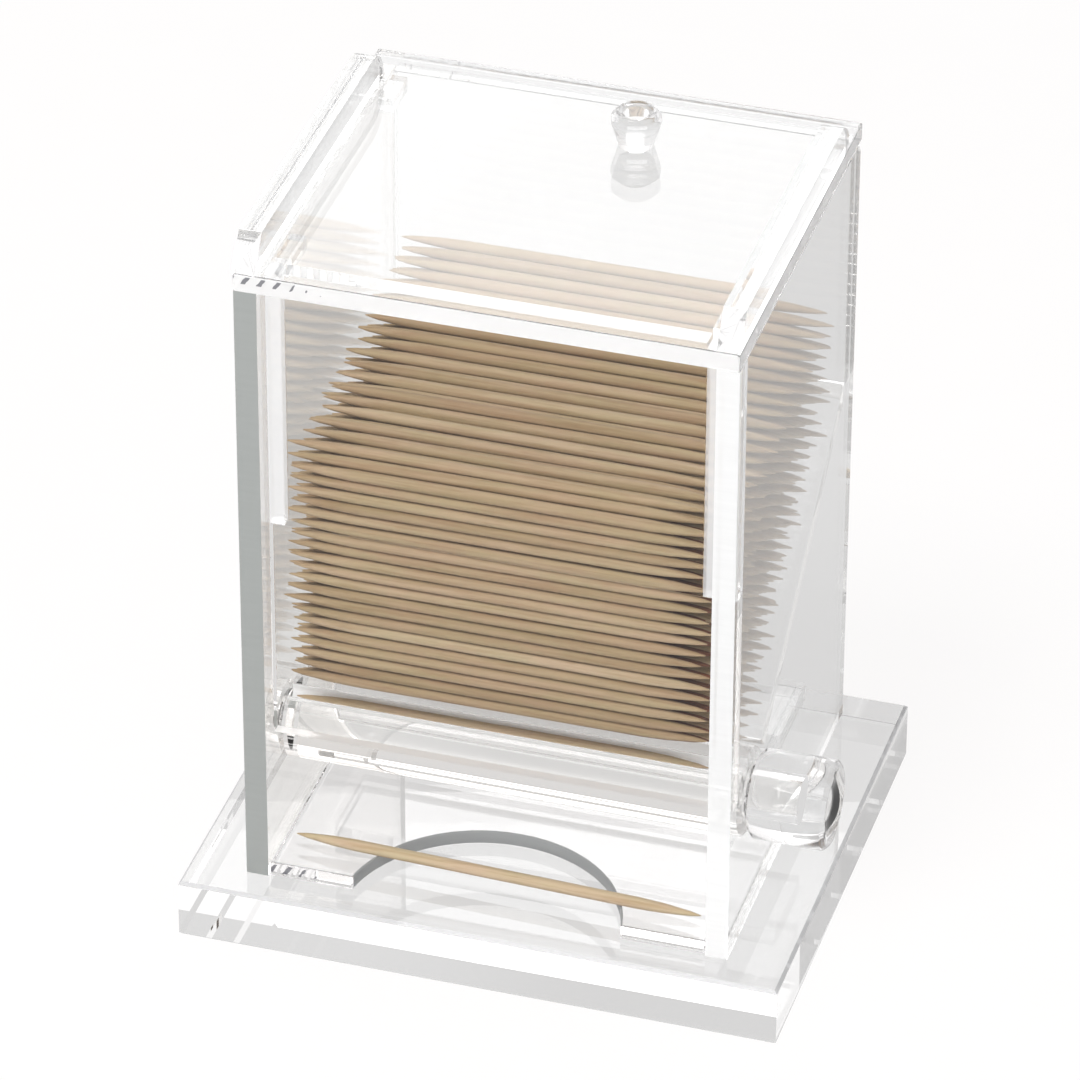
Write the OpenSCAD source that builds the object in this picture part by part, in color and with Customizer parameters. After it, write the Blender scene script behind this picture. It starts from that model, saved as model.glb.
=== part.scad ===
// Counter-top toothpick holder cut from clear acrylic sheet.
// A box of two side walls stands on a thick base. A sloped ramp feeds the picks
// to a grooved roller, which a knob on the right turns to lay one on the tray.
// Millimetres. X runs along the picks, -Y is the front, Z = 0 is the table.

/* [Base] */
// Width of the base plate, along the picks
base_w = 95; // [90:1:120]
// Depth of the base plate
base_d = 79; // [74:1:110]
// Thickness of the base plate
base_t = 10; // [6:0.5:14]
// Polished bevel on the edges of the base
base_bevel = 0.5; // [0.2:0.1:1.5]

/* [Box] */
// Thickness of the side walls
wall_t = 3.5; // [3:0.1:5]
// Depth of the side walls, front to back
wall_d = 68; // [64:1:72]
// Height of the side walls
wall_h = 104.5; // [100:0.5:125]
// Radius of the rear top corner of the side walls
wall_corner_r = 1.6; // [0.5:0.1:3]
// Thickness of the front, back and ramp sheets
sheet_t = 3; // [2.5:0.1:3.4]
// How far the front panels sit back from the edges of the side walls
front_recess = 3.8; // [3:0.1:5]
// Height of the upper front panel
upper_front_h = 42; // [36:0.5:48]
// Width of the upright strips that hold the ends of the upper front panel
strip_w = 2.3; // [1.5:0.1:3.5]
// Bevel on the inner top corner of an upright strip
strip_bevel = 0.8; // [0.2:0.1:1.2]
// Height of the lower front panel's foot, the gate, above the roller's axis
gate_rise = 3.1; // [2.5:0.1:4]
// Height of the back panel
back_h = 42; // [38:0.5:46]

/* [Ramp] */
// Slope of the hopper ramp
ramp_angle = 39.3; // [36:0.1:42]
// Gap between the foot of the ramp and the roller
ramp_gap = 1.1; // [0.8:0.1:1.5]
// Depth of the cross brace under the ramp, front to back
brace_d = 15; // [8:0.5:20]
// Distance from the roller axis back to the cross brace
brace_back = 17.3; // [16:0.1:20]
// Height of the underside of the brace above the base
brace_rise = 17; // [12:0.5:18]

/* [Tray] */
// How far the tray sits back from the edges of the side walls
tray_recess = 0.5; // [0.2:0.1:2]
// Thickness of the tray plate
tray_t = 2.3; // [1.8:0.1:3]
// Depth of the tray plate, front to back
tray_d = 38; // [32:0.5:50]
// Radius of the finger notch
notch_r = 21.5; // [16:0.5:25]
// How far the centre of the notch lies in front of the tray edge
notch_lead = 3.5; // [1:0.1:6]

/* [Roller] */
// Diameter of the dispensing roller
roller_dia = 14; // [12:0.1:16]
// Height of the roller axis above the top of the base
roller_rise = 21.5; // [20:0.5:26]
// Gap between the roller and the front panels
roller_front_gap = 0.4; // [0.3:0.05:1]
// Diameter of the journals that run in the side walls
journal_dia = 8; // [6:0.1:9]
// Radial clearance of the journals in their bores
journal_clear = 0.06; // [0.04:0.01:0.1]
// Diameter of the spigots that carry the knob and the collar
spigot_dia = 5; // [3:0.1:5.5]
// Width of the pick groove in the roller
groove_w = 2.5; // [2.3:0.05:2.7]
// Depth of the pick groove in the roller
groove_depth = 2.5; // [2.4:0.05:2.8]
// Angle of the groove forward of straight up
groove_angle = 20; // [0:1:30]

/* [Knob and collar] */
// Diameter of the turning knob
knob_dia = 14; // [13:0.5:20]
// Length of the turning knob
knob_len = 12; // [10:0.5:18]
// Depth of the knob's bore for the spigot
knob_bore_depth = 7; // [5:0.5:8]
// Bevel on the edges of the knob
knob_bevel = 0.7; // [0.3:0.1:1.2]
// Depth of the dish turned in the knob's outer end
knob_dish = 0.8; // [0.4:0.1:1.5]
// Diameter of the retaining collar on the left
collar_dia = 11; // [10:0.5:16]
// Length of the retaining collar
collar_len = 2.4; // [2:0.1:4]
// Running gap between a wall and the knob, the collar or the roller
side_gap = 0.35; // [0.2:0.05:0.6]

/* [Lid] */
// Thickness of the lid plate
lid_t = 3; // [2.5:0.1:4]
// How far the lid plate reaches past the walls at the front
lid_front_over = 0.3; // [0:0.1:1]
// How far the lid plate reaches past the walls at the back
lid_back_over = 0.8; // [0:0.1:2]
// Height of the two lid rails
rail_h = 5.5; // [4:0.1:8]
// How far the slanted front end of a rail leans back at its top
rail_lean = 3.5; // [2:0.1:6]
// Distance from the back of the walls to the rear foot of a rail
rail_back = 7; // [5:0.5:12]
// Diameter of the lid knob at its top
lid_knob_dia = 7.6; // [6:0.1:10]
// Diameter of the lid knob at its foot
lid_knob_foot = 5.4; // [4:0.1:5.8]
// Height of the lid knob
lid_knob_h = 5.8; // [4:0.1:9]
// Place of the lid knob, to the right of the middle
lid_knob_x = 7.5; // [0:0.5:20]
// Place of the lid knob, behind the middle
lid_knob_y = 18.5; // [0:0.5:24]
// Length of each locating block under the lid
block_len = 7; // [4:0.5:10]
// Width and drop of each locating block
block_t = 2.4; // [1.5:0.1:3]
// Distance of the locating blocks from the panels in front and behind
block_gap = 1.2; // [0.5:0.1:2]

/* [Toothpicks] */
// Diameter of a toothpick
pick_dia = 1.85; // [1.7:0.05:2.1]
// Length of a toothpick
pick_len = 65; // [60:0.5:68]
// Room past each end of a toothpick, up to the side walls
pick_end_room = 2.2; // [1.5:0.1:4]
// Length of the taper at each end of a toothpick
pick_taper = 9; // [6:0.5:14]
// Diameter of a toothpick at its blunt tip
pick_tip_dia = 0.5; // [0.4:0.05:0.8]
// Spacing of the toothpicks in the stack
pick_pitch = 1.95; // [1.9:0.01:2.4]
// Height of the stack's lowest toothpick at the front, above the roller's axis
stack_foot_rise = 11.6; // [10:0.1:16]
// Height of the stack's top at the front, above the base
stack_front_h = 74; // [50:0.5:85]
// Rise of the stack's top from the front to the back
stack_rise = 4; // [0:0.5:6]
// How far the toothpick in the groove lies to the left
groove_pick_shift = 0.8; // [0:0.1:1.5]
// Turn of the toothpick that lies on the tray
tray_pick_turn = 2; // [0:0.1:3]

/* [Hidden] */
$fn = 64;

// Film of cement between glued sheets
glue = 0.1;
// Overrun of a cut past the face that it opens
cut = 1;
// Clearance between a loose toothpick and what it lies on
pick_clear = 0.12;
// Clearance between a spigot and its bore
spigot_clear = 0.03;
// Film of air that the lid rests on
lid_film = 0.05;
// Angle on the roller, above level, that the foot of the ramp meets
ramp_start_angle = 42;
// Height of the lid knob's rounded rim as a share of the knob's height
lid_knob_rim_share = 1 / 6;
// Share of the end room that toothpicks are shifted by, at most
pick_shift_share = 0.8;
// Steps that scatter the picks' shifts from row to row and column to column
row_scatter = 137;
column_scatter = 71;

inner_w = pick_len + 2 * pick_end_room;
half_in = inner_w / 2;
half_out = half_in + wall_t;
front_y = -wall_d / 2;
back_y = wall_d / 2;
base_top = base_t;
wall_foot = base_top + glue;
wall_top = wall_foot + wall_h;
tray_top = wall_foot + tray_t;

panel_front_y = front_y + front_recess;
panel_back_y = panel_front_y + sheet_t;

roller_r = roller_dia / 2;
roller_y = panel_back_y + roller_front_gap + roller_r;
roller_z = base_top + roller_rise;
roller_len = inner_w - 2 * side_gap;
groove_r = roller_r - groove_depth + groove_w / 2;
groove_y = roller_y - groove_r * sin(groove_angle);
groove_z = roller_z + groove_r * cos(groove_angle);
journal_end = half_out + side_gap;

upper_top = wall_top - glue;
upper_foot = upper_top - upper_front_h;
lower_top = upper_foot - glue;
lower_foot = roller_z + gate_rise;
strip_edge = half_in - glue - strip_w;

back_panel_y = back_y - sheet_t;
ramp_end_y = back_panel_y - glue;

// The ramp's upper face starts where it clears the roller by the ramp gap
ramp_start_r = roller_r + ramp_gap;
ramp_start_y = roller_y + ramp_start_r * cos(ramp_start_angle);
ramp_start_z = roller_z + ramp_start_r * sin(ramp_start_angle);
ramp_end_z = ramp_start_z + (ramp_end_y - ramp_start_y) * tan(ramp_angle);
ramp_normal_y = sin(ramp_angle);
ramp_normal_z = cos(ramp_angle);

lid_foot = wall_top + lid_film;
lid_top = lid_foot + lid_t;
lid_front_y = front_y - lid_front_over;
lid_back_y = back_y + lid_back_over;
lid_knob_rim = lid_knob_h * lid_knob_rim_share;

pick_r = pick_dia / 2;
pick_room = pick_r + pick_clear;
first_pick_y = panel_back_y + pick_room + pick_clear;
crown_pick_z = roller_z + roller_r + pick_room;

// Lays a shape drawn round Z along X
module along_x() rotate([0, 90, 0]) children();

// A sheet standing across the box, from low to high in Y and Z
module cross_sheet(y, z, d, h) {
    translate([-half_in + glue, y, z]) cube([inner_w - 2 * glue, d, h]);
}

// A rectangle with all four corners cut off at 45 degrees
module bevelled(w, h, bevel) {
    polygon([[bevel, 0], [w - bevel, 0], [w, bevel], [w, h - bevel],
        [w - bevel, h], [bevel, h], [0, h - bevel], [0, bevel]]);
}

// Thick slab with a polished bevel on all its edges
module base_plate() {
    color("aliceblue", 0.5)
        intersection() {
            translate([-base_w / 2, base_d / 2, 0])
                rotate([90, 0, 0])
                    linear_extrude(base_d) bevelled(base_w, base_t, base_bevel);
            translate([-base_w / 2, -base_d / 2, 0])
                rotate([90, 0, 90])
                    linear_extrude(base_w) bevelled(base_d, base_t, base_bevel);
        }
}

// Side view of a wall, in Y and Z, with its rear top corner rounded
module wall_outline() {
    r = wall_corner_r;
    translate([front_y, wall_foot]) square([wall_d - r, wall_h]);
    translate([back_y - 2 * r, wall_foot]) square([2 * r, wall_h - r]);
    translate([back_y - r, wall_top - r]) circle(r);
}

// A side wall with the bore that carries a roller journal
module side_wall(x) {
    color("aliceblue", 0.5)
        difference() {
            translate([x, 0, 0])
                rotate([90, 0, 90])
                    linear_extrude(wall_t) wall_outline();
            translate([x - cut, roller_y, roller_z])
                along_x() cylinder(r = journal_dia / 2 + journal_clear, h = wall_t + 2 * cut);
        }
}

module left_side_wall() side_wall(-half_out);

module right_side_wall() side_wall(half_in);

// Window over the upper half of the hopper, cemented between the upright strips
module upper_front_panel() {
    half = strip_edge - glue;
    color("aliceblue", 0.5)
        translate([-half, panel_front_y, upper_foot]) cube([2 * half, sheet_t, upper_front_h]);
}

// Upright strip along the right wall, seen from the front
module front_strip() {
    b = strip_bevel;
    color("aliceblue", 0.5)
        translate([strip_edge, panel_back_y, upper_foot])
            rotate([90, 0, 0])
                linear_extrude(sheet_t)
                    polygon([[0, 0], [strip_w, 0], [strip_w, upper_front_h],
                        [b, upper_front_h], [0, upper_front_h - b]]);
}

module right_front_strip() front_strip();

module left_front_strip() mirror([1, 0, 0]) front_strip();

// Gate sheet under the window, which lets only the groove's pick pass
module lower_front_panel() {
    color("aliceblue", 0.5) cross_sheet(panel_front_y, lower_foot, sheet_t, lower_top - lower_foot);
}

module back_panel() {
    color("aliceblue", 0.5) cross_sheet(back_panel_y, upper_top - back_h, sheet_t, back_h);
}

// Sloped floor of the hopper, with its upper end cut to meet the back panel
module hopper_ramp() {
    drop = sheet_t / cos(ramp_angle);
    color("aliceblue", 0.5)
        translate([-half_in + glue, 0, 0])
            rotate([90, 0, 90])
                linear_extrude(inner_w - 2 * glue)
                    polygon([[ramp_start_y, ramp_start_z],
                        [ramp_end_y, ramp_end_z],
                        [ramp_end_y, ramp_end_z - drop],
                        [ramp_start_y + sheet_t * ramp_normal_y,
                            ramp_start_z - sheet_t * ramp_normal_z]]);
}

// Level sheet that ties the walls together behind the roller
module cross_brace() {
    color("aliceblue", 0.5)
        cross_sheet(roller_y + brace_back, base_top + brace_rise, brace_d, sheet_t);
}

// Thin plate on the base with a round notch to pinch the pick through
module tray_plate() {
    color("aliceblue", 0.5)
        difference() {
            cross_sheet(front_y + tray_recess, wall_foot, tray_d, tray_t);
            translate([0, front_y + tray_recess - notch_lead, wall_foot - cut])
                cylinder(r = notch_r, h = tray_t + 2 * cut);
        }
}

// Rod with a round-bottomed groove, a journal at each end and two spigots
module dispensing_roller() {
    color("aliceblue", 0.5)
        translate([0, roller_y, roller_z]) {
            difference() {
                translate([-roller_len / 2, 0, 0]) along_x() cylinder(r = roller_r, h = roller_len);
                translate([-roller_len / 2 - cut, 0, 0])
                    rotate([groove_angle, 0, 0]) {
                        translate([0, 0, groove_r])
                            along_x() cylinder(r = groove_w / 2, h = roller_len + 2 * cut);
                        translate([0, -groove_w / 2, groove_r])
                            cube([roller_len + 2 * cut, groove_w, roller_r]);
                    }
            }
            for (start = [-journal_end, roller_len / 2])
                translate([start, 0, 0])
                    along_x() cylinder(r = journal_dia / 2, h = journal_end - roller_len / 2);
            translate([journal_end, 0, 0])
                along_x() cylinder(r = spigot_dia / 2, h = knob_bore_depth - spigot_clear);
            translate([-journal_end - collar_len, 0, 0])
                along_x() cylinder(r = spigot_dia / 2, h = collar_len);
        }
}

// Plain round knob, dished at its outer end and bored for the spigot
module turning_knob() {
    r = knob_dia / 2;
    bore_r = spigot_dia / 2 + spigot_clear;
    b = knob_bevel;
    color("aliceblue", 0.5)
        translate([journal_end, roller_y, roller_z])
            along_x()
                rotate_extrude()
                    polygon([[bore_r, 0], [r - b, 0], [r, b], [r, knob_len - b],
                        [r - b, knob_len], [r - 2 * b, knob_len],
                        [bore_r, knob_len - knob_dish], [0, knob_len - knob_dish],
                        [0, knob_bore_depth], [bore_r, knob_bore_depth]]);
}

// Ring on the left spigot that keeps the roller from sliding out
module retaining_collar() {
    r = collar_dia / 2;
    b = knob_bevel;
    bore_r = spigot_dia / 2 + spigot_clear;
    color("aliceblue", 0.5)
        translate([-journal_end - collar_len, roller_y, roller_z])
            along_x()
                rotate_extrude()
                    polygon([[bore_r, 0], [r - b, 0], [r, b], [r, collar_len], [bore_r, collar_len]]);
}

module lid_plate() {
    color("aliceblue", 0.5)
        translate([-half_out, lid_front_y, lid_foot])
            cube([2 * half_out, lid_back_y - lid_front_y, lid_t]);
}

// Side view of a lid rail: slanted in front, rounded behind
module rail_outline() {
    rear = back_y - rail_back - rail_h;
    polygon([[lid_front_y, 0], [rear, 0], [rear, rail_h], [lid_front_y + rail_lean, rail_h]]);
    intersection() {
        translate([rear, 0]) circle(rail_h);
        translate([rear, 0]) square(rail_h);
    }
}

module lid_rail(x) {
    color("aliceblue", 0.5)
        translate([x, 0, lid_top + glue])
            rotate([90, 0, 90])
                linear_extrude(wall_t) rail_outline();
}

module left_lid_rail() lid_rail(-half_out);

module right_lid_rail() lid_rail(half_in);

// Small turned knob, wider at the top, with a shallow dish
module lid_knob() {
    r = lid_knob_dia / 2;
    e = lid_knob_rim;
    color("aliceblue", 0.5)
        translate([lid_knob_x, lid_knob_y, lid_top + glue])
            rotate_extrude()
                polygon([[0, 0], [lid_knob_foot / 2, 0], [r, lid_knob_h - 2 * e],
                    [r, lid_knob_h - e], [r - e, lid_knob_h], [r / 2, lid_knob_h - e / 2],
                    [0, lid_knob_h - e / 2]]);
}

// Blocks under the lid that drop inside the box, one at each end of a wall
module locating_blocks(x) {
    z = lid_foot - glue - block_t;
    color("aliceblue", 0.5) {
        translate([x, panel_back_y + block_gap, z]) cube([block_t, block_len, block_t]);
        translate([x, back_panel_y - block_gap - block_len, z]) cube([block_t, block_len, block_t]);
    }
}

module left_locating_blocks() locating_blocks(-half_in + side_gap);

module right_locating_blocks() locating_blocks(half_in - side_gap - block_t);

// One toothpick along X, centred, tapered to a blunt tip at both ends
module toothpick() {
    half = pick_len / 2;
    tip_r = pick_tip_dia / 2;
    along_x()
        rotate_extrude($fn = 24)
            polygon([[0, -half], [tip_r, -half], [pick_r, pick_taper - half],
                [pick_r, half - pick_taper], [tip_r, half], [0, half]]);
}

// Lowest place of a toothpick's centre: the stack bridges from the roller's crown to the front
function stack_foot(y) =
    crown_pick_z + (roller_z + stack_foot_rise - crown_pick_z)
        * (roller_y - y) / (roller_y - first_pick_y);

// True where a toothpick's centre lies inside the filled part of the hopper
function in_stack(y, z) =
    let (off_ramp = (z - ramp_start_z) * ramp_normal_z - (y - ramp_start_y) * ramp_normal_y,
        off_roller = norm([y - roller_y, z - roller_z]) - roller_r,
        rise_share = (y - panel_back_y) / (ramp_end_y - panel_back_y),
        top = base_top + stack_front_h + stack_rise * rise_share)
    y > panel_back_y + pick_room && y < ramp_end_y - pick_room
        && (y > roller_y || z >= stack_foot(y)) && off_ramp > pick_room && off_roller > pick_room && z < top - pick_r;

// Shift of a toothpick along X, the same for the same place in the stack
function shift(row, column) =
    pick_end_room * pick_shift_share * sin(row_scatter * row + column_scatter * column);

// Close-packed upright columns of toothpicks that fill the hopper
module toothpick_stack() {
    column_step = pick_pitch * sin(60);
    rows = ceil((wall_top - roller_z) / pick_pitch);
    columns = ceil(wall_d / column_step);
    color("burlywood")
        for (row = [0 : rows], column = [0 : columns]) {
            y = first_pick_y + column_step * column;
            z = lower_foot + pick_pitch * (row + (column % 2) / 2);
            if (in_stack(y, z)) translate([shift(row, column), y, z]) toothpick();
        }
}

module groove_toothpick() {
    lie = groove_w / 2 - pick_r - pick_clear;
    color("burlywood")
        translate([-groove_pick_shift, groove_y + lie * sin(groove_angle),
            groove_z - lie * cos(groove_angle)])
                toothpick();
}

module tray_toothpick() {
    color("burlywood")
        translate([0, panel_back_y - pick_r / 2, tray_top + pick_room])
            rotate([0, 0, -tray_pick_turn]) toothpick();
}

base_plate();
left_side_wall();
right_side_wall();
upper_front_panel();
left_front_strip();
right_front_strip();
lower_front_panel();
back_panel();
hopper_ramp();
cross_brace();
tray_plate();
dispensing_roller();
turning_knob();
retaining_collar();
lid_plate();
left_lid_rail();
right_lid_rail();
lid_knob();
left_locating_blocks();
right_locating_blocks();
toothpick_stack();
groove_toothpick();
tray_toothpick();
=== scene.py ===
"""Looks of the clear acrylic toothpick holder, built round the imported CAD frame.

The sheets, the roller and the knobs are the CAD nodes with clear materials and polished edges.
The toothpicks are modelled again here, one tapered birch stick at a time, in the CAD's places.
"""
import math

import bmesh
import bpy
import numpy as np
from mathutils import Matrix, Vector


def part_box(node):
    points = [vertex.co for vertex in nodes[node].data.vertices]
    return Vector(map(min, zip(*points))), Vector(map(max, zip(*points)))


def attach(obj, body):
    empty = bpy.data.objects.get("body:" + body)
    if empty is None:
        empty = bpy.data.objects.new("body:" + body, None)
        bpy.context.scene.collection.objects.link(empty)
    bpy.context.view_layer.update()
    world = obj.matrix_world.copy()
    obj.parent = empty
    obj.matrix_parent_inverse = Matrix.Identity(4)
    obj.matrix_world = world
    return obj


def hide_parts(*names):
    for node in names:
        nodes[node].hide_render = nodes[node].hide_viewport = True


MM = 0.001

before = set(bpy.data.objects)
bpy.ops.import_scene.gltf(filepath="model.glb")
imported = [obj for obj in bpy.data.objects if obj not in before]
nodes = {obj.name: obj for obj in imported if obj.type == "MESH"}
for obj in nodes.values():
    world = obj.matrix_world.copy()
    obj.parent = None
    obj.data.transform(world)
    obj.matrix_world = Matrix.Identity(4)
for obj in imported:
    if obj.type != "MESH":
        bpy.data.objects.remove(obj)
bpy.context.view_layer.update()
scene = bpy.context.scene
collection = scene.collection


# ---------------------------------------------------------------- node helpers

class Recipe:
    """A material's node tree with short calls for the nodes that these finishes use."""

    def __init__(self, name):
        self.material = bpy.data.materials.new(name)
        self.material.use_nodes = True
        self.tree = self.material.node_tree
        self.tree.nodes.clear()
        self.output = self.add("ShaderNodeOutputMaterial")

    def add(self, kind, inputs=None, **properties):
        """Adds a node, sets its properties, and sets or links its inputs."""
        node = self.tree.nodes.new(kind)
        for key, value in properties.items():
            setattr(node, key, value)
        for key, value in (inputs or {}).items():
            self.put(value, node.inputs[key])
        return node

    def put(self, value, socket):
        """Links an output to a socket, or sets the socket to a value."""
        if isinstance(value, bpy.types.NodeSocket):
            self.tree.links.new(value, socket)
        else:
            socket.default_value = value

    def place(self, scale=(1.0, 1.0, 1.0)):
        """Object coordinates, scaled."""
        coords = self.add("ShaderNodeTexCoord")
        mapping = self.add("ShaderNodeMapping", {"Vector": coords.outputs["Object"], "Scale": scale})
        return mapping.outputs["Vector"]

    def noise(self, scale, detail=2.0, roughness=0.5, vector=None):
        """A noise value from 0 to 1 with cells of 1 / scale metres."""
        node = self.add("ShaderNodeTexNoise",
                        {"Scale": scale, "Detail": detail, "Roughness": roughness,
                         "Vector": vector if vector is not None else self.place()})
        return node.outputs["Fac"]

    def remap(self, value, low, high, to_low, to_high):
        """Maps a value from one range to another and clamps it."""
        node = self.add("ShaderNodeMapRange",
                        {"Value": value, "From Min": low, "From Max": high,
                         "To Min": to_low, "To Max": to_high})
        return node.outputs["Result"]

    def math(self, operation, a, b=0.0):
        """One sum or comparison of two values."""
        node = self.add("ShaderNodeMath", operation=operation)
        self.put(a, node.inputs[0])
        self.put(b, node.inputs[1])
        return node.outputs["Value"]

    def every(self, tests):
        """1 where all tests hold, else 0. A test is (comparison, value, limit)."""
        held = 1.0
        for comparison, value, limit in tests:
            held = self.math("MULTIPLY", held, self.math(comparison, value, limit))
        return held

    def ramp(self, value, stops):
        """A colour ramp from (position, colour) stops."""
        node = self.add("ShaderNodeValToRGB", {"Fac": value})
        elements = node.color_ramp.elements
        while len(elements) < len(stops):
            elements.new(0.5)
        for element, (position, colour) in zip(elements, stops):
            element.position = position
            element.color = (*colour, 1.0)
        return node.outputs["Color"]

    def mix_colour(self, factor, a, b, blend="MIX"):
        """Blends two colours, each an output or a plain red, green and blue."""
        node = self.add("ShaderNodeMix", data_type="RGBA", blend_type=blend)
        self.put(factor, node.inputs[0])
        self.put(a if isinstance(a, bpy.types.NodeSocket) else (*a, 1.0), node.inputs[6])
        self.put(b if isinstance(b, bpy.types.NodeSocket) else (*b, 1.0), node.inputs[7])
        return node.outputs[2]

    def mix_shader(self, factor, a, b):
        """Shader a where the factor is 0, and b where it is 1."""
        node = self.add("ShaderNodeMixShader")
        self.put(factor, node.inputs[0])
        self.put(a, node.inputs[1])
        self.put(b, node.inputs[2])
        return node.outputs[0]

    def matt(self, colour):
        """A plain matt surface."""
        return self.add("ShaderNodeBsdfDiffuse", {"Color": colour}).outputs["BSDF"]

    def split(self, vector):
        """X, Y and Z of a vector."""
        return self.add("ShaderNodeSeparateXYZ", {"Vector": vector}).outputs

    def flat_normal(self):
        """X, Y and Z of a face's own normal."""
        return self.split(self.add("ShaderNodeNewGeometry").outputs["True Normal"])

    def outside(self):
        """1 where a face is met from outside the body, 0 where from inside."""
        return self.math("SUBTRACT", 1.0, self.add("ShaderNodeNewGeometry").outputs["Backfacing"])

    def square_faces(self, axis, place):
        """Picks faces square to an axis at a place along it, and at its mirror if it is positive."""
        square = self.math("GREATER_THAN", self.math("ABSOLUTE", self.flat_normal()[axis]), SQUARE)
        here = self.split(self.place())[axis]
        reach = here if place < 0 else self.math("ABSOLUTE", here)
        away = self.math("ABSOLUTE", self.math("SUBTRACT", reach, place))
        return self.math("MULTIPLY", square, self.math("LESS_THAN", away, JOINT_REACH))

    def finish(self, shader):
        """Ends the material in a shader."""
        self.put(shader, self.output.inputs["Surface"])
        return self.material


ACRYLIC_IOR = 1.49
LAMP_TINT = (0.985, 0.985, 0.985, 1.0)
SAWN_WHITE = (0.93, 0.92, 0.915, 1.0)
MILK_WHITE = (0.93, 0.93, 0.94, 1.0)
JOINT_REACH = 0.4 * MM
# A face is square to an axis if its normal's part along the axis is more than this
SQUARE = 0.9
# Share of a worked face that is cloudy instead of clear
WORKED_SHARE = 0.85
SCRAPED_ROUGHNESS = 0.35
SAW_STREAK = 0.96
# Painted reflection: slanted dark glints on the lid's and the tray's front edges
PAINTED_GLINT_DARK = (0.14, 0.14, 0.16, 1.0)
GLINT_PITCH = 2.37 * MM
GLINT_LEAN = 0.7
GLINT_UNEVEN = 0.25
GLINT_WIDE, GLINT_GONE = 0.55, 1.4


def satin(r, colour, roughness):
    """Acrylic with a fine matt surface."""
    return r.add("ShaderNodeBsdfPrincipled",
                 {"Base Color": colour, "Roughness": roughness, "IOR": ACRYLIC_IOR}).outputs["BSDF"]


def sawn_front(r, body, edge, behind):
    """Front faces as the saw left them: satin, with faint streaks up the edge. Dark grey there is
    painted shade.
    """
    colour, start, roughness, share = edge
    facing = r.math("MULTIPLY", r.flat_normal()["Y"], -1.0)
    on_edge = r.math("MULTIPLY", r.math("GREATER_THAN", facing, start), r.outside())
    if behind is not None:
        deep = r.math("GREATER_THAN", r.split(r.place())["Y"], behind)
        on_edge = r.math("MULTIPLY", on_edge, deep)
    saw = r.noise(60.0, detail=2.0, vector=r.place(scale=(1.0, 1.0, 18.0)))
    tone = r.ramp(saw, [(0.3, tuple(part * SAW_STREAK for part in colour)), (0.7, colour)])
    return r.mix_shader(r.math("MULTIPLY", on_edge, share), body, satin(r, tone, roughness))


def scraped_bevels(r, body, colour):
    """Slanted bevel faces, left satin by a scraper."""
    normal = r.flat_normal()
    squareness = r.math("MAXIMUM", r.math("ABSOLUTE", normal["X"]), r.math("ABSOLUTE", normal["Y"]))
    squareness = r.math("MAXIMUM", squareness, r.math("ABSOLUTE", normal["Z"]))
    slanted = r.math("MULTIPLY", r.math("LESS_THAN", squareness, SQUARE), r.outside())
    share = r.math("MULTIPLY", slanted, WORKED_SHARE)
    return r.mix_shader(share, body, satin(r, (*colour, 1.0), SCRAPED_ROUGHNESS))


def milled_slot(r, body, slot):
    """Cloudy walls of a slot along X, within a reach of its middle line."""
    middle_y, middle_z, reach = slot
    spot = r.split(r.place())
    across = r.math("POWER", r.math("SUBTRACT", spot["Y"], middle_y), 2.0)
    up = r.math("POWER", r.math("SUBTRACT", spot["Z"], middle_z), 2.0)
    milled = r.math("LESS_THAN", r.math("ADD", across, up), reach ** 2)
    return r.mix_shader(r.math("MULTIPLY", milled, WORKED_SHARE), body, r.matt(SAWN_WHITE))


def painted_edge_glints(r, body, painted_glints):
    """Slanted dark glints painted on a front edge, that thin out from one X to another.

    They are where the sine of (X - lean * Z), with a period of one pitch, is above a level that
    rises along X.
    """
    front, start, end, low, high = painted_glints
    spot = r.split(r.place())
    lean = r.math("ADD", spot["X"], r.math("MULTIPLY", spot["Z"], -GLINT_LEAN))
    wave = r.math("SINE", r.math("MULTIPLY", lean, 2 * math.pi / GLINT_PITCH))
    uneven = r.remap(r.noise(700.0, detail=1.0), 0.35, 0.65, -GLINT_UNEVEN, GLINT_UNEVEN)
    level = r.remap(spot["X"], start, end, GLINT_WIDE, GLINT_GONE)
    glint = r.every([("GREATER_THAN", r.math("ADD", wave, uneven), level),
                    ("GREATER_THAN", spot["Z"], low), ("LESS_THAN", spot["Z"], high),
                    ("LESS_THAN", spot["Y"], front + JOINT_REACH),
                    ("LESS_THAN", r.flat_normal()["Y"], -0.5)])
    return r.mix_shader(r.math("MULTIPLY", glint, WORKED_SHARE), body, r.matt(PAINTED_GLINT_DARK))


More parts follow.
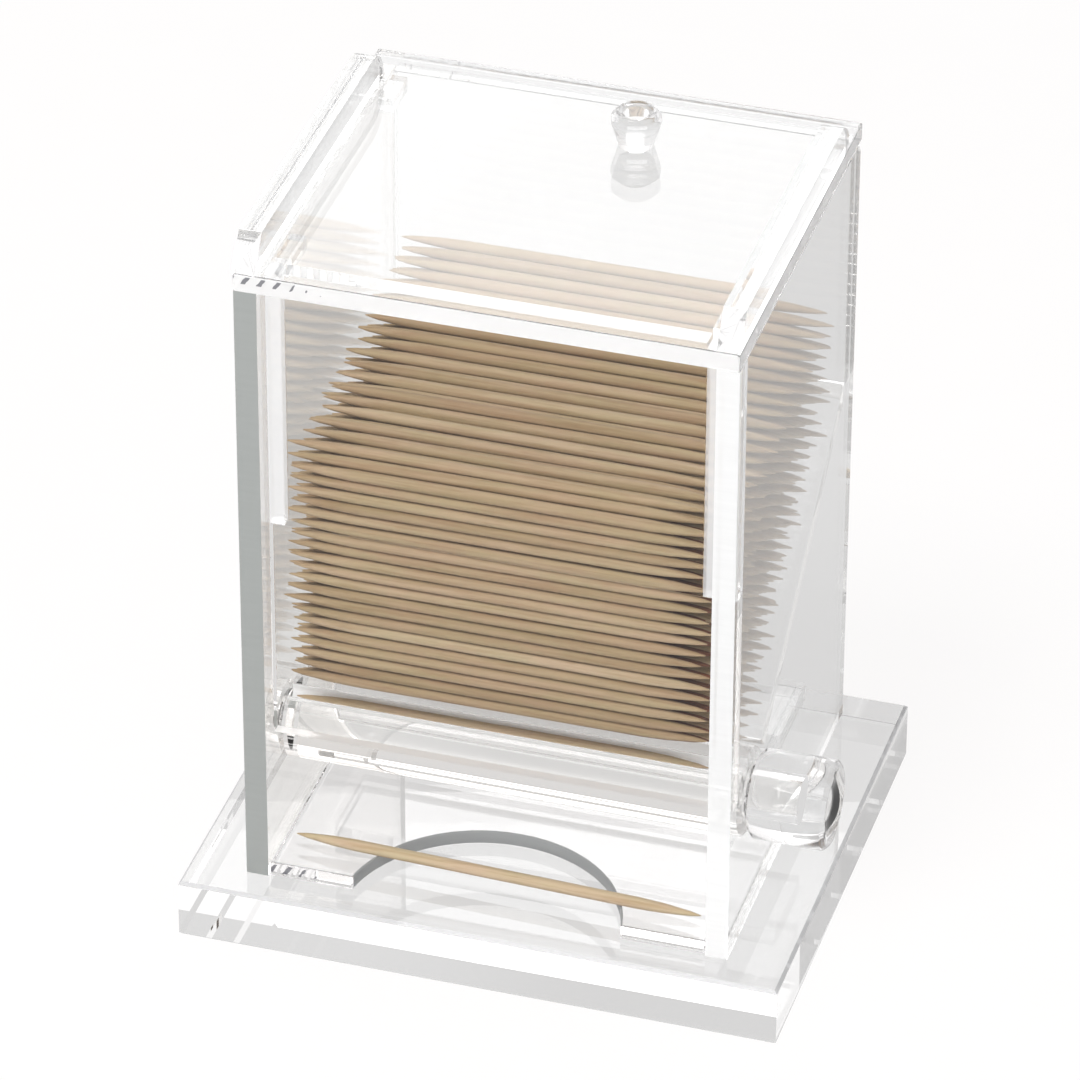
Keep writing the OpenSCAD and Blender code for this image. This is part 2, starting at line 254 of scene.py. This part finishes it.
def acrylic(name, tint, haze=0.05, edge=None, behind=None, joints=(), milk=0.0, scraped=None,
            sawn=(), slot=None, painted_glints=None):
    """Clear acrylic: refracting, with faint wipe marks in its polish.

    Rays from the lamps go straight through it, as they do through a thin clear sheet.
    haze is the roughness in the wipe marks. edge is (colour, start, roughness, share): front faces
    whose normal points to the front by more than start, of which that share is satin instead of
    clear. With behind, only those of them that lie behind that depth are satin. joints are cemented
    faces that are as good as gone, each (axis, place, region): faces square to the axis at that
    distance from the middle plane, and inside the region of (Y low, Y high, Z low) if there is one.
    milk is the share of the body that is clouded. scraped is the colour of scraped bevels. sawn are
    faces that the saw left cloudy, each (axis, place, share) as for a joint. slot is a milled slot
    along X, as (Y, Z, reach). chatter are dark glints painted on a front edge, as (front Y, start X,
    end X, low Z, high Z).
    """
    r = Recipe(name)
    cloud = r.noise(38.0, detail=3.0)
    wipes = r.noise(9.0, detail=4.0, vector=r.place(scale=(26.0, 26.0, 3.0)))
    colour = r.ramp(cloud, [(0.3, tint), (0.7, tuple(min(1.0, part + 0.012) for part in tint))])
    body = r.add("ShaderNodeBsdfPrincipled",
                 {"Base Color": colour, "Roughness": r.remap(wipes, 0.55, 0.85, 0.0, haze),
                  "IOR": ACRYLIC_IOR, "Transmission Weight": 1.0}).outputs["BSDF"]
    if edge:
        body = sawn_front(r, body, edge, behind)
    if scraped:
        body = scraped_bevels(r, body, scraped)
    for axis, place, share in sawn:
        cut = r.math("MULTIPLY", r.square_faces(axis, place), share)
        body = r.mix_shader(cut, body, r.matt(SAWN_WHITE))
    if slot:
        body = milled_slot(r, body, slot)
    if milk:
        body = r.mix_shader(milk, body, r.matt(MILK_WHITE))
    if painted_glints:
        body = painted_edge_glints(r, body, painted_glints)
    path = r.add("ShaderNodeLightPath")
    straight = r.math("MAXIMUM", path.outputs["Is Shadow Ray"], path.outputs["Is Diffuse Ray"])
    for axis, place, region in joints:
        gone = r.square_faces(axis, place)
        if region:
            front, rear, foot = region
            spot = r.split(r.place())
            gone = r.math("MULTIPLY", gone, r.every([("GREATER_THAN", spot["Y"], front),
                                                     ("LESS_THAN", spot["Y"], rear),
                                                     ("GREATER_THAN", spot["Z"], foot)]))
        straight = r.math("MAXIMUM", straight, gone)
    through = r.add("ShaderNodeBsdfTransparent", {"Color": LAMP_TINT}).outputs["BSDF"]
    return r.finish(r.mix_shader(straight, body, through))


# Colour ramps of (place, colour): the tones of different sticks, and the grain over them
BIRCH_TONES = [(0.0, (0.33, 0.225, 0.125)), (0.35, (0.41, 0.295, 0.172)),
               (0.7, (0.47, 0.350, 0.215)), (1.0, (0.57, 0.450, 0.305))]
BIRCH_GRAIN = [(0.3, (0.80, 0.74, 0.66)), (0.55, (1.0, 1.0, 1.0)), (0.8, (1.04, 1.02, 0.98))]
# Sapwood drifts between a greenish and a pinkish cast along the stick
BIRCH_CAST = [(0.35, (0.98, 1.01, 0.96)), (0.65, (1.03, 0.985, 1.01))]
FLECK_BROWN = (0.33, 0.2, 0.1)
TIP_BROWN = (0.46, 0.3, 0.16)
# Painted shade: the warm brown that stick undersides and sticks deep in the stack are darkened towards
PAINTED_GAP_SHADE = (0.34, 0.13, 0.05)


def birch(name):
    """Plain sanded birch: grain along the stick, a tone for each stick, brown tips, painted shade in the
    gaps.
    """
    r = Recipe(name)
    tone = r.add("ShaderNodeAttribute", attribute_name="stick_tone").outputs["Fac"]
    along = r.add("ShaderNodeAttribute", attribute_name="stick_along").outputs["Fac"]
    painted_shade = r.add("ShaderNodeAttribute", attribute_name="stick_painted_shade").outputs["Fac"]
    grain = r.noise(1.0, detail=4.0, roughness=0.6, vector=r.place(scale=(60.0, 1500.0, 1500.0)))
    fleck = r.noise(1.0, detail=1.0, vector=r.place(scale=(220.0, 2600.0, 2600.0)))
    drift = r.noise(1.0, detail=2.0, vector=r.place(scale=(90.0, 500.0, 500.0)))
    colour = r.mix_colour(1.0, r.ramp(tone, BIRCH_TONES), r.ramp(grain, BIRCH_GRAIN), blend="MULTIPLY")
    colour = r.mix_colour(r.remap(fleck, 0.62, 0.78, 0.0, 0.35), colour, FLECK_BROWN)
    colour = r.mix_colour(r.remap(along, 0.90, 1.0, 0.0, 0.25), colour, TIP_BROWN)
    colour = r.mix_colour(1.0, colour, r.ramp(drift, BIRCH_CAST), blend="MULTIPLY")
    # Painted shade: undersides, and the right-hand ends of the sticks behind others, get little light,
    # so they are darkened towards a warm brown in the gaps
    normal = r.split(r.add("ShaderNodeNewGeometry").outputs["Normal"])
    painted_underside_shade = r.remap(normal["Z"], -0.75, -0.15, 0.15, 0.0)
    colour = r.mix_colour(r.math("MAXIMUM", painted_underside_shade, painted_shade), colour, PAINTED_GAP_SHADE, blend="MULTIPLY")
    relief = r.add("ShaderNodeBump", {"Strength": 0.35, "Distance": 0.00012, "Height": grain})
    return r.finish(r.add("ShaderNodeBsdfPrincipled",
                          {"Base Color": colour, "Roughness": r.remap(grain, 0.3, 0.8, 0.60, 0.42),
                           "IOR": 1.5, "Normal": relief.outputs["Normal"]}).outputs["BSDF"])


def corners(node):
    """The low and the high corner of a CAD node's box, as plain numbers."""
    low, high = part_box(node)
    return tuple(float(part) for part in low), tuple(float(part) for part in high)


X, Y, Z = 0, 1, 2
LID_LOW, LID_HIGH = corners("lid_plate")
TRAY_LOW, TRAY_HIGH = corners("tray_plate")
GATE_LOW, GATE_HIGH = corners("lower_front_panel")
GROOVE_LOW, GROOVE_HIGH = corners("groove_toothpick")
STRIP_EDGE = corners("right_front_strip")[0][X]
WALL_FACE = corners("right_side_wall")[0][X]
BRACE_END = corners("cross_brace")[1][X]
ROLLER_END = corners("dispensing_roller")[1][X]
FRONT_JOINTS = (("Z", GATE_HIGH[Z], None), ("X", STRIP_EDGE, None), ("X", WALL_FACE, None))
WALL_JOINTS = (("X", WALL_FACE, (GATE_LOW[Y], GATE_HIGH[Y], GATE_LOW[Z])),)
NOTCH_FRONT = -33.3 * MM
# Where dark glints are painted on the lid's and the tray's front edges
LID_PAINTED_GLINTS = (LID_LOW[Y], -35.0 * MM, -19.0 * MM, LID_LOW[Z] + 1.5 * MM, LID_HIGH[Z] - 0.3 * MM)
TRAY_PAINTED_GLINTS = (TRAY_LOW[Y], -34.0 * MM, -22.0 * MM, TRAY_LOW[Z] + 0.5 * MM, TRAY_HIGH[Z] - 0.3 * MM)
GROOVE = ((GROOVE_LOW[Y] + GROOVE_HIGH[Y]) / 2, (GROOVE_LOW[Z] + GROOVE_HIGH[Z]) / 2, 1.7 * MM)

CLEAR_TINT = (0.975, 0.98, 0.98)
ROD_TINT = (0.98, 0.983, 0.985)
ROD_HAZE = 0.08
sheet_clear = acrylic("sheet_acrylic", CLEAR_TINT)
sheet_lid = acrylic("lid_acrylic", CLEAR_TINT, milk=0.10, sawn=(("Y", LID_LOW[Y], 0.7),),
                    painted_glints=LID_PAINTED_GLINTS)
sheet_brace = acrylic("brace_acrylic", CLEAR_TINT, sawn=(("X", BRACE_END, 0.9),))
# Painted shade: the left wall's front edge is grey satin, where the same edge on the right wall is white
sheet_left = acrylic("left_wall_acrylic", (1.0, 0.982, 0.962), joints=WALL_JOINTS,
                     edge=((0.375, 0.39, 0.38), 0.9, 0.45, 1.0))
sheet_right = acrylic("right_wall_acrylic", CLEAR_TINT, joints=WALL_JOINTS,
                      edge=((0.95, 0.95, 0.95), 0.9, 0.5, 0.8))
sheet_front = acrylic("front_acrylic", CLEAR_TINT, joints=FRONT_JOINTS, sawn=(("Z", GATE_LOW[Z], 0.8),))
strip_milky = acrylic("strip_acrylic", CLEAR_TINT, joints=FRONT_JOINTS[1:], milk=0.45)
# Painted shade: the notch's edge is grey satin, darker than the sawn faces of the other sheets
sheet_tray = acrylic("tray_acrylic", (0.905, 0.900, 0.900), behind=NOTCH_FRONT,
                     edge=((0.36, 0.37, 0.375), 0.05, 0.4, 1.0), painted_glints=TRAY_PAINTED_GLINTS)
base_clear = acrylic("base_acrylic", (0.98, 0.985, 0.985), haze=0.04, scraped=(0.66, 0.66, 0.67))
rod_clear = acrylic("turned_acrylic", ROD_TINT, haze=ROD_HAZE)
roller_clear = acrylic("roller_acrylic", (0.995, 0.982, 0.968), haze=ROD_HAZE,
                       sawn=(("X", ROLLER_END, 0.5),), slot=GROOVE)
stick_birch = birch("birch_stick")


# ---------------------------------------------------------------- CAD nodes

def dress(name, material):
    """Gives a CAD node one material on all its faces."""
    mesh = nodes[name].data
    mesh.materials.clear()
    mesh.materials.append(material)


WELD_REACH = 0.002 * MM
SHEET_POLISH = 0.28 * MM
POLISH_STEPS = 2
POLISH_ANGLE = 35.0


def join_triangles(name):
    """Joins a node's loose triangles into one skin."""
    weld = nodes[name].modifiers.new("join", "WELD")
    weld.merge_threshold = WELD_REACH


def polish_edges(name):
    """Rounds a node's edges a little, as flame polishing does."""
    bevel = nodes[name].modifiers.new("polish", "BEVEL")
    bevel.width = SHEET_POLISH
    bevel.segments = POLISH_STEPS
    bevel.limit_method = "ANGLE"
    bevel.angle_limit = math.radians(POLISH_ANGLE)
    bevel.use_clamp_overlap = True


# Each node of clear acrylic with its material
CLEAR_NODES = {
    "back_panel": sheet_clear, "hopper_ramp": sheet_clear,
    "left_lid_rail": sheet_clear, "right_lid_rail": sheet_clear,
    "left_locating_blocks": sheet_clear, "right_locating_blocks": sheet_clear,
    "lid_plate": sheet_lid, "cross_brace": sheet_brace,
    "left_side_wall": sheet_left, "right_side_wall": sheet_right,
    "base_plate": base_clear, "tray_plate": sheet_tray,
    "left_front_strip": strip_milky, "right_front_strip": strip_milky,
    "upper_front_panel": sheet_front, "lower_front_panel": sheet_front,
    "turning_knob": rod_clear, "retaining_collar": rod_clear, "lid_knob": rod_clear,
    "dispensing_roller": roller_clear,
}
for node_name, node_material in CLEAR_NODES.items():
    dress(node_name, node_material)
POLISHED = ("tray_plate", "back_panel", "hopper_ramp", "cross_brace", "lid_plate",
            "left_lid_rail", "right_lid_rail", "left_side_wall", "right_side_wall")
for node_name in POLISHED:
    join_triangles(node_name)
    polish_edges(node_name)
for node_name in ("dispensing_roller", "turning_knob", "retaining_collar", "lid_knob"):
    join_triangles(node_name)


# ---------------------------------------------------------------- toothpicks

STICK_LENGTH = 65.0 * MM
STICK_RADIUS = (GROOVE_HIGH[Z] - GROOVE_LOW[Z]) / 2
STACK_SIDES = 10
LONE_SIDES = 20
# Places along half a stick as shares of its half length, and the radius there as a share
STICK_PROFILE = ((0.70, 1.0), (0.82, 0.84), (0.95, 0.42), (1.0, 0.10))


def stick_mesh(centres, turns, tones, painted_shade, sides, name):
    """Many double-pointed sticks in one mesh.

    centres is (n, 3); turns is (n, 2), small turns about Z and about Y; tones is (n,); hidden is
    (n,), 1 for a stick whose right-hand end lies in the dark behind others and gets painted shade.
    A ring point is x = half length * share, (y, z) = radius * share * (cos a, sin a), then turned
    by x' = x, y' = y + x * turn z, z' = z + x * turn y, and moved to the stick's centre.
    """
    shares = np.array([(-s, r) for s, r in STICK_PROFILE[::-1]] + list(STICK_PROFILE))
    rings = len(shares)
    angle = 2 * np.pi * np.arange(sides) / sides
    x = np.repeat(shares[:, 0], sides) * STICK_LENGTH / 2
    y = np.outer(shares[:, 1], np.cos(angle)).ravel() * STICK_RADIUS
    z = np.outer(shares[:, 1], np.sin(angle)).ravel() * STICK_RADIUS
    count = len(centres)
    points = np.empty((count, rings * sides, 3))
    points[:, :, 0] = centres[:, None, 0] + x
    points[:, :, 1] = centres[:, None, 1] + y + x * turns[:, None, 0]
    points[:, :, 2] = centres[:, None, 2] + z + x * turns[:, None, 1]
    ring = np.arange(rings - 1)[:, None] * sides
    side = np.arange(sides)[None, :]
    after = (side + 1) % sides
    quads = np.stack([ring + side, ring + sides + side, ring + sides + after, ring + after], -1)
    quads = quads.reshape(-1, 4)[:, ::-1]
    starts = np.arange(count) * rings * sides
    all_quads = (quads[None] + starts[:, None, None]).reshape(-1, 4)
    first = np.arange(sides)
    last = first[::-1] + (rings - 1) * sides
    caps = np.stack([first, last])
    all_caps = (caps[None] + starts[:, None, None]).reshape(-1, sides)
    mesh = bpy.data.meshes.new(name)
    mesh.from_pydata(points.reshape(-1, 3).tolist(), [], all_quads.tolist() + all_caps.tolist())
    mesh.update()
    along = np.abs(np.repeat(shares[:, 0], sides))
    right_hand = np.repeat(shares[:, 0] > 0, sides).astype(float)
    for key, values in (("stick_tone", np.repeat(tones, rings * sides)),
                        ("stick_along", np.tile(along, count)),
                        ("stick_painted_shade", np.outer(painted_shade, right_hand).ravel())):
        attribute = mesh.attributes.new(key, "FLOAT", "POINT")
        attribute.data.foreach_set("value", values.astype(np.float32))
    mesh.shade_smooth()
    mesh.validate()
    return mesh


def outward(mesh):
    """Turns all faces outwards."""
    work = bmesh.new()
    work.from_mesh(mesh)
    bmesh.ops.recalc_face_normals(work, faces=work.faces)
    work.to_mesh(mesh)
    work.free()


def place_sticks(name, centres, turns, tones, painted_shade, body, replaced, sides):
    """Adds a mesh of sticks that rides on a body in place of a CAD node."""
    mesh = stick_mesh(np.asarray(centres), np.asarray(turns), np.asarray(tones), np.asarray(painted_shade),
                      sides, name)
    outward(mesh)
    mesh.materials.append(stick_birch)
    piece = bpy.data.objects.new(name, mesh)
    collection.objects.link(piece)
    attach(piece, body)
    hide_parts(replaced)


# The CAD stack's lattice
PITCH = 1.95 * MM
COLUMN_STEP = PITCH * math.sin(math.radians(60.0))
STICK_TIP = 3.0 * MM


def cad_stick_centres(node):
    """Centres of the CAD node's sticks: the occupied places of its lattice.

    Columns are COLUMN_STEP apart in Y from the front one, rows are PITCH apart in Z, and every
    other column is half a pitch up. A place is occupied if a tip has points round it.
    """
    mesh = nodes[node].data
    points = np.empty(len(mesh.vertices) * 3)
    mesh.vertices.foreach_get("co", points)
    points = points.reshape(-1, 3)
    front = points[:, 1].min() + STICK_RADIUS
    highest = points[points[:, 2].argmax()]
    top = highest[2] - STICK_RADIUS
    top_column = round((highest[1] - front) / COLUMN_STEP)
    tips = points[points[:, 0] < STICK_TIP - STICK_LENGTH / 2]
    column = np.rint((tips[:, 1] - front) / COLUMN_STEP)
    base = top - (column - top_column) % 2 * PITCH / 2
    row = np.rint((tips[:, 2] - base) / PITCH)
    places = np.unique(np.stack([front + column * COLUMN_STEP, base + row * PITCH], 1).round(6), axis=0)
    return np.column_stack([np.zeros(len(places)), places])


RANDOM_SEED = 71
# Spreads in mm, and turns in radians
SHIFT_SPREAD, SHIFT_MOST = 0.75, 1.7
UNREST_SPREAD = 0.05
TURN_SPREAD = 0.0018
TONE_SHAPE = 4.0
LIT_TOP = 3.0 * MM

random = np.random.default_rng(RANDOM_SEED)
stack_axes = cad_stick_centres("toothpick_stack")
count = len(stack_axes)
shift = random.normal(0.0, SHIFT_SPREAD, count).clip(-SHIFT_MOST, SHIFT_MOST) * MM
unrest = random.normal(0.0, UNREST_SPREAD, (count, 2)) * MM
lowest_axis, highest_axis = stack_axes[:, 1:].min(0), stack_axes[:, 1:].max(0)
settled = np.clip(stack_axes[:, 1:] + unrest, lowest_axis, highest_axis)
stack_centres = np.column_stack([shift, settled])
stack_turns = random.normal(0.0, TURN_SPREAD, (count, 2))
stack_tones = random.beta(TONE_SHAPE, TONE_SHAPE, count)
# The second and third columns, seen between the ends of the first, get painted shade but for their tops
column_number = np.rint((stack_axes[:, 1] - stack_axes[:, 1].min()) / COLUMN_STEP)
behind_front = (column_number == 1) | (column_number == 2)
dark_below = stack_axes[behind_front, 2].max() - LIT_TOP
stack_painted_shade = (behind_front & (stack_axes[:, 2] < dark_below)).astype(float)
place_sticks("stack_sticks", stack_centres, stack_turns, stack_tones, stack_painted_shade, "stand",
             "toothpick_stack", STACK_SIDES)

TRAY_STICK_TURN = 2.0


def lone_stick(name, node, body, tone, turn):
    """One stick in the middle of a CAD toothpick's box."""
    low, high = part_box(node)
    place_sticks(name, [tuple((low + high) / 2)], [turn], [tone], [0.0], body, node, LONE_SIDES)


lone_stick("groove_stick", "groove_toothpick", "roller", 0.8, (0.0, 0.0))
lone_stick("tray_stick", "tray_toothpick", "stand", 1.0, (-math.tan(math.radians(TRAY_STICK_TURN)), 0.0))


# ---------------------------------------------------------------- studio

# Levels of the paper as the camera sees it, in glass and reflections, and in the dark reflection painted
# in front
OPEN_PAPER = 1.05
SEEN_PAPER = 0.75
PAINTED_DARK_REFLECTION = 0.42
PAINTED_REFLECTION_EDGE = -60.0 * MM
PAINTED_REFLECTION_SOFT = 30.0 * MM
PAPER_GLOW = 0.85
PAPER_WHITE = (1.0, 0.988, 0.985, 1.0)


def studio_paper(name):
    """Pale studio paper. Seen straight it is mostly plain white, and in glass it is pale grey.

    The upright front panels mirror the paper in front of the object. A dark patch is painted there,
    which only glass and reflections see: a painted dark reflection that keeps their veil off the sticks.
    """
    r = Recipe(name)
    grain = r.noise(90.0, detail=3.0)
    diffuse = r.matt(r.ramp(grain, [(0.3, (0.80, 0.80, 0.80)), (0.7, (0.83, 0.83, 0.83))]))
    seen_by = r.add("ShaderNodeLightPath").outputs
    here = r.split(r.place())
    # Painted reflection: glass and gloss see the paper in front of the object darker
    mirrored = r.remap(here["Y"], PAINTED_REFLECTION_EDGE - PAINTED_REFLECTION_SOFT, PAINTED_REFLECTION_EDGE, PAINTED_DARK_REFLECTION, SEEN_PAPER)
    level = r.math("MAXIMUM", mirrored, r.math("MULTIPLY", seen_by["Is Camera Ray"], OPEN_PAPER))
    white = r.add("ShaderNodeEmission", {"Color": PAPER_WHITE, "Strength": level}).outputs["Emission"]
    seen = r.math("MAXIMUM", seen_by["Is Camera Ray"], seen_by["Is Transmission Ray"])
    seen = r.math("MAXIMUM", seen, seen_by["Is Glossy Ray"])
    return r.finish(r.mix_shader(r.math("MULTIPLY", seen, PAPER_GLOW), diffuse, white))


FLOOR_REACH = 3.0
FLOOR_DROP = 0.05 * MM
floor_mesh = bpy.data.meshes.new("studio_floor")
floor_mesh.from_pydata([(-FLOOR_REACH, -FLOOR_REACH, 0.0), (FLOOR_REACH, -FLOOR_REACH, 0.0),
                        (FLOOR_REACH, FLOOR_REACH, 0.0), (-FLOOR_REACH, FLOOR_REACH, 0.0)],
                       [], [(0, 1, 2, 3)])
floor_mesh.transform(Matrix.Translation((0.0, 0.0, -FLOOR_DROP)))
floor_mesh.materials.append(studio_paper("studio_paper"))
floor = bpy.data.objects.new("studio_floor", floor_mesh)
collection.objects.link(floor)

world = bpy.data.worlds.new("studio")
scene.world = world
world.use_nodes = True
tree = world.node_tree
tree.nodes.clear()
view_direction = tree.nodes.new("ShaderNodeTexCoord").outputs["Generated"]


def patch(level, direction, outer, inner, value):
    """A room level that blends to another value round a direction.

    outer and inner are the angles in degrees where the blend starts and where it is whole.
    """
    towards = tree.nodes.new("ShaderNodeVectorMath")
    towards.operation = "DOT_PRODUCT"
    towards.inputs[1].default_value = Vector(direction).normalized()
    tree.links.new(view_direction, towards.inputs[0])
    share = tree.nodes.new("ShaderNodeMapRange")
    share.interpolation_type = "SMOOTHSTEP"
    share.inputs["From Min"].default_value = math.cos(math.radians(outer))
    share.inputs["From Max"].default_value = math.cos(math.radians(inner))
    tree.links.new(towards.outputs["Value"], share.inputs["Value"])
    blend = tree.nodes.new("ShaderNodeMix")
    tree.links.new(share.outputs["Result"], blend.inputs[0])
    if isinstance(level, bpy.types.NodeSocket):
        tree.links.new(level, blend.inputs[2])
    else:
        blend.inputs[2].default_value = level
    blend.inputs[3].default_value = value
    return blend.outputs[0]


def background(colour, strength):
    """A plain sky of one colour."""
    node = tree.nodes.new("ShaderNodeBackground")
    node.inputs["Color"].default_value = colour
    if isinstance(strength, bpy.types.NodeSocket):
        tree.links.new(strength, node.inputs["Strength"])
    else:
        node.inputs["Strength"].default_value = strength
    return node.outputs["Background"]


# Room as glass and gloss see it. Each part is a direction, the angles where its blend starts and
# where it is whole, and its level.
ROOM_LEVEL = 0.95
ROOM_WHITE = (1.0, 0.985, 0.983, 1.0)
ROOM_PARTS = (
    ((-0.24, 0.80, 0.55), 60.0, 25.0, 1.12),   # pale room behind, which level faces mirror
    ((-0.238, 0.955, 0.17), 21.0, 11.0, 2.0),  # bright wall low behind, which the roller bends
    ((0.10, -0.80, 0.58), 55.0, 22.0, 0.42),   # dark room in front
    ((-0.25, -0.25, 0.93), 16.0, 12.0, 4.0),   # bright ceiling panel, which the ramp mirrors
)
room = ROOM_LEVEL
for direction, outer, inner, level in ROOM_PARTS:
    room = patch(room, direction, outer, inner, level)

WHITE = (1.0, 1.0, 1.0, 1.0)
WORLD_LIGHT = 0.31
seen_sky = background(ROOM_WHITE, room)
light_sky = background(WHITE, WORLD_LIGHT)
white_sky = background(WHITE, 1.0)
path = tree.nodes.new("ShaderNodeLightPath")
clear_ray = tree.nodes.new("ShaderNodeMath")
clear_ray.operation = "MAXIMUM"
tree.links.new(path.outputs["Is Transmission Ray"], clear_ray.inputs[0])
tree.links.new(path.outputs["Is Glossy Ray"], clear_ray.inputs[1])
by_glass = tree.nodes.new("ShaderNodeMixShader")
tree.links.new(clear_ray.outputs["Value"], by_glass.inputs[0])
tree.links.new(light_sky, by_glass.inputs[1])
tree.links.new(seen_sky, by_glass.inputs[2])
by_camera = tree.nodes.new("ShaderNodeMixShader")
tree.links.new(path.outputs["Is Camera Ray"], by_camera.inputs[0])
tree.links.new(by_glass.outputs["Shader"], by_camera.inputs[1])
tree.links.new(white_sky, by_camera.inputs[2])
world_output = tree.nodes.new("ShaderNodeOutputWorld")
tree.links.new(by_camera.outputs["Shader"], world_output.inputs["Surface"])


def softbox(name, place, target, wide, tall, power, mirrored=False):
    """A rectangular area lamp aimed at a point. Glass and gloss see it only if it is mirrored."""
    lamp = bpy.data.lights.new(name, "AREA")
    lamp.shape = "RECTANGLE"
    lamp.size = wide
    lamp.size_y = tall
    lamp.energy = power
    holder = bpy.data.objects.new(name, lamp)
    holder.location = place
    holder.rotation_euler = (Vector(target) - Vector(place)).to_track_quat("-Z", "Y").to_euler()
    holder.visible_glossy = mirrored
    holder.visible_transmission = mirrored
    holder.visible_camera = False
    collection.objects.link(holder)


MIDDLE = (0.0, 0.0, 0.06)
# Place, width, height and watts
softbox("key_softbox", (-0.30, -0.62, 0.98), MIDDLE, 0.42, 0.42, 8.5)
softbox("low_softbox", (0.0, -0.95, 0.22), MIDDLE, 0.5, 0.3, 1.4)
softbox("fill_softbox", (0.9, -0.45, 0.5), MIDDLE, 0.5, 0.5, 2.0)
softbox("top_softbox", (0.05, 0.15, 1.1), MIDDLE, 0.6, 0.6, 1.2)
# A low strip behind that the lid mirrors to the camera, and the base doesn't
LID_MIDDLE = Vector((0.0, 0.0, 0.118))
MIRRORED = Vector((-0.239, 0.798, 0.553))
STRIP_REACH = 0.6
STRIP_LEVEL = 1.65
STRIP_WIDE, STRIP_TALL = 0.34, 0.13
STRIP_POWER = STRIP_LEVEL * math.pi * STRIP_WIDE * STRIP_TALL
softbox("lid_strip", LID_MIDDLE + MIRRORED * STRIP_REACH, LID_MIDDLE, STRIP_WIDE, STRIP_TALL,
        STRIP_POWER, mirrored=True)

# ---------------------------------------------------------------- camera

CAMERA_RIGHT = Vector((0.95731286, 0.2890355, 0.00324965))
CAMERA_UP = Vector((-0.16229514, 0.52816586, 0.83348732))
CAMERA_BACK = Vector((0.23919107, -0.79843553, 0.55252903))
CAMERA_PLACE = Vector((259.364, -871.434, 659.735)) * MM
SENSOR_WIDTH = 36.0
LENS = 238.987

camera_data = bpy.data.cameras.new("photo_camera")
camera = bpy.data.objects.new("photo_camera", camera_data)
collection.objects.link(camera)
turn = Matrix((CAMERA_RIGHT, CAMERA_UP, CAMERA_BACK)).transposed()
camera.matrix_world = Matrix.Translation(CAMERA_PLACE) @ turn.to_4x4()
camera_data.sensor_width = SENSOR_WIDTH
camera_data.lens = LENS
camera_data.clip_start = 0.05
camera_data.clip_end = 20.0
scene.camera = camera

# Enough bounces for light to find its way out of sheets that mirror each other
scene.cycles.max_bounces = 40
scene.cycles.transmission_bounces = 40
scene.cycles.transparent_max_bounces = 48
scene.cycles.glossy_bounces = 36
scene.cycles.diffuse_bounces = 4

scene.view_settings.view_transform = "Standard"
